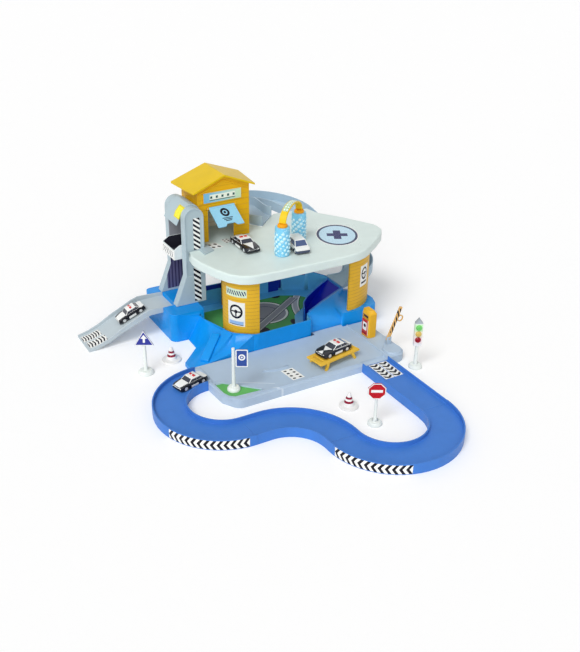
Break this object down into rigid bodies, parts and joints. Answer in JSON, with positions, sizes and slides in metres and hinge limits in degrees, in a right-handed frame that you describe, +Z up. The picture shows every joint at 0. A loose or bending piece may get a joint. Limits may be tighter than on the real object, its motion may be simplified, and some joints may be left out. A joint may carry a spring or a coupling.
{
  "type": "toy police garage",
  "caption": "Toy car garage with lift tower, upper deck, house, spiral and side ramps, car wash rollers, front platform, track loop, road signs and toy cars.",
  "frame": {"origin": "on the table under the middle of the garage floor, in the flat underside of the base", "axes": "+X to the right along the platform's front edge, +Y to the back, +Z up"},
  "size_m": [0.7231, 1.0125, 0.349],
  "materials": {
    "azure_plastic": "satin",
    "navy_plastic": "satin",
    "slate_plastic": "satin",
    "grey_plastic": "satin",
    "pale_plastic": "satin",
    "ice_plastic": "satin",
    "track_plastic": "satin",
    "purple_plastic": "satin",
    "amber_plastic": "satin",
    "yellow_plastic": "satin",
    "gold_plastic": "satin",
    "sky_plastic": "satin",
    "lime_plastic": "satin",
    "white_plastic": "satin",
    "indigo_plastic": "satin",
    "red_plastic": "gloss",
    "green_plastic": "gloss",
    "printed_card": "printed",
    "car_paint": "gloss",
    "tyre_plastic": "matt"
  },
  "bodies": {
    "garage": {"base_shell": "azure_plastic", "floor_mat": "printed_card", "garage_lane": "navy_plastic", "front_pillar": "amber_plastic", "right_pillar": "amber_plastic", "rear_pillar": "amber_plastic", "upper_deck": "pale_plastic", "tower_front_column": "grey_plastic", "tower_back_column": "grey_plastic", "tower_back_panel": "purple_plastic", "tower_hood": "grey_plastic", "left_ramp": "grey_plastic", "house_body": "amber_plastic", "house_roof": "yellow_plastic", "spiral_ramp": "slate_plastic", "wash_cap_front": "amber_plastic", "wash_cap_rear": "amber_plastic", "wash_arch": "lime_plastic", "front_platform": "ice_plastic", "car_stand": "gold_plastic", "fuel_pump": "amber_plastic", "fuel_pump_plate": "white_plastic", "track_curve_left": "track_plastic", "track_bend": "track_plastic", "track_curve_right": "track_plastic", "track_straight": "track_plastic", "triangle_sign_post": "white_plastic", "triangle_sign_panel": "indigo_plastic", "panel_sign_post": "white_plastic", "panel_sign_panel": "white_plastic", "octagon_sign_post": "white_plastic", "octagon_sign_panel": "red_plastic", "traffic_light_post": "white_plastic", "traffic_light_head": "white_plastic", "traffic_lamp_red": "red_plastic", "traffic_lamp_amber": "amber_plastic", "traffic_lamp_green": "green_plastic", "cone_left": "white_plastic", "cone_front": "white_plastic"},
    "lift_tray": {"lift_tray": "grey_plastic"},
    "door_flap": {"house_door_flap": "sky_plastic"},
    "barrier": {"barrier_arm": "gold_plastic"},
    "roller_front": {"wash_roller_front": "sky_plastic"},
    "roller_rear": {"wash_roller_rear": "sky_plastic"},
    "track_car": {"track_car_body": "car_paint"},
    "track_car_front_wheels": {"track_car_wheels_front": "tyre_plastic"},
    "track_car_rear_wheels": {"track_car_wheels_rear": "tyre_plastic"},
    "stand_car": {"stand_car_body": "car_paint"},
    "stand_car_front_wheels": {"stand_car_wheels_front": "tyre_plastic"},
    "stand_car_rear_wheels": {"stand_car_wheels_rear": "tyre_plastic"},
    "ramp_car": {"ramp_car_body": "car_paint"},
    "ramp_car_front_wheels": {"ramp_car_wheels_front": "tyre_plastic"},
    "ramp_car_rear_wheels": {"ramp_car_wheels_rear": "tyre_plastic"},
    "deck_car": {"deck_car_body": "car_paint"},
    "deck_car_front_wheels": {"deck_car_wheels_front": "tyre_plastic"},
    "deck_car_rear_wheels": {"deck_car_wheels_rear": "tyre_plastic"},
    "wash_car": {"wash_car_body": "car_paint"},
    "wash_car_front_wheels": {"wash_car_wheels_front": "tyre_plastic"},
    "wash_car_rear_wheels": {"wash_car_wheels_rear": "tyre_plastic"}
  },
  "joints": [
    {"name": "lift_slide", "type": "slide", "parent": "garage", "child": "lift_tray", "axis": [0, 0, 1], "range_m": [-0.104, 0.023]},
    {"name": "door_hinge", "type": "hinge", "parent": "garage", "child": "door_flap", "pos_m": [-0.086, 0.093, 0.276], "axis": [1, 0, 0], "range_deg": [-28, 58]},
    {"name": "barrier_hinge", "type": "hinge", "parent": "garage", "child": "barrier", "pos_m": [0.19, -0.229, 0.03], "axis": [0, 1, 0], "range_deg": [-111.9, 0]},
    {"name": "roller_front_spin", "type": "hinge", "parent": "garage", "child": "roller_front", "pos_m": [0.023, -0.047, 0.1963], "axis": [0, 0, 1], "continuous": true},
    {"name": "roller_rear_spin", "type": "hinge", "parent": "garage", "child": "roller_rear", "pos_m": [0.1, 0.012, 0.1963], "axis": [0, 0, 1], "continuous": true},
    {"name": "track_car_lift_off", "type": "slide", "parent": "garage", "child": "track_car", "axis": [0, 0, 1], "range_m": [0, 0.05]},
    {"name": "track_car_front_spin", "type": "hinge", "parent": "track_car", "child": "track_car_front_wheels", "pos_m": [-0.2831, -0.1763, 0.0193], "axis": [0.2588, -0.9659, 0], "continuous": true},
    {"name": "track_car_rear_spin", "type": "hinge", "parent": "track_car", "child": "track_car_rear_wheels", "pos_m": [-0.2399, -0.1647, 0.0193], "axis": [0.2588, -0.9659, 0], "continuous": true},
    {"name": "stand_car_lift_off", "type": "slide", "parent": "garage", "child": "stand_car", "axis": [0, 0, 1], "range_m": [0, 0.05]},
    {"name": "stand_car_front_spin", "type": "hinge", "parent": "stand_car", "child": "stand_car_front_wheels", "pos_m": [0.0216, -0.2343, 0.0418], "axis": [0.1736, -0.9848, 0], "continuous": true},
    {"name": "stand_car_rear_spin", "type": "hinge", "parent": "stand_car", "child": "stand_car_rear_wheels", "pos_m": [0.0704, -0.2257, 0.0418], "axis": [0.1736, -0.9848, 0], "continuous": true},
    {"name": "ramp_car_lift_off", "type": "slide", "parent": "garage", "child": "ramp_car", "axis": [0, 0, 1], "range_m": [0, 0.05]},
    {"name": "ramp_car_front_spin", "type": "hinge", "parent": "ramp_car", "child": "ramp_car_front_wheels", "pos_m": [-0.2979, 0.118, 0.0432], "axis": [0, -1, 0], "continuous": true},
    {"name": "ramp_car_rear_spin", "type": "hinge", "parent": "ramp_car", "child": "ramp_car_rear_wheels", "pos_m": [-0.2582, 0.118, 0.059], "axis": [0, -1, 0], "continuous": true},
    {"name": "deck_car_lift_off", "type": "slide", "parent": "garage", "child": "deck_car", "axis": [0, 0, 1], "range_m": [0, 0.025]},
    {"name": "deck_car_front_spin", "type": "hinge", "parent": "deck_car", "child": "deck_car_front_wheels", "pos_m": [-0.029, 0.0027, 0.2018], "axis": [1, 0, 0], "continuous": true},
    {"name": "deck_car_rear_spin", "type": "hinge", "parent": "deck_car", "child": "deck_car_rear_wheels", "pos_m": [-0.029, 0.0573, 0.2018], "axis": [1, 0, 0], "continuous": true},
    {"name": "wash_car_lift_off", "type": "slide", "parent": "garage", "child": "wash_car", "axis": [0, 0, 1], "range_m": [0, 0.05]},
    {"name": "wash_car_front_spin", "type": "hinge", "parent": "wash_car", "child": "wash_car_front_wheels", "pos_m": [0.0662, -0.0583, 0.2018], "axis": [0.9903, -0.1392, 0], "continuous": true},
    {"name": "wash_car_rear_spin", "type": "hinge", "parent": "wash_car", "child": "wash_car_rear_wheels", "pos_m": [0.0718, -0.0177, 0.2018], "axis": [0.9903, -0.1392, 0], "continuous": true}
  ]
}
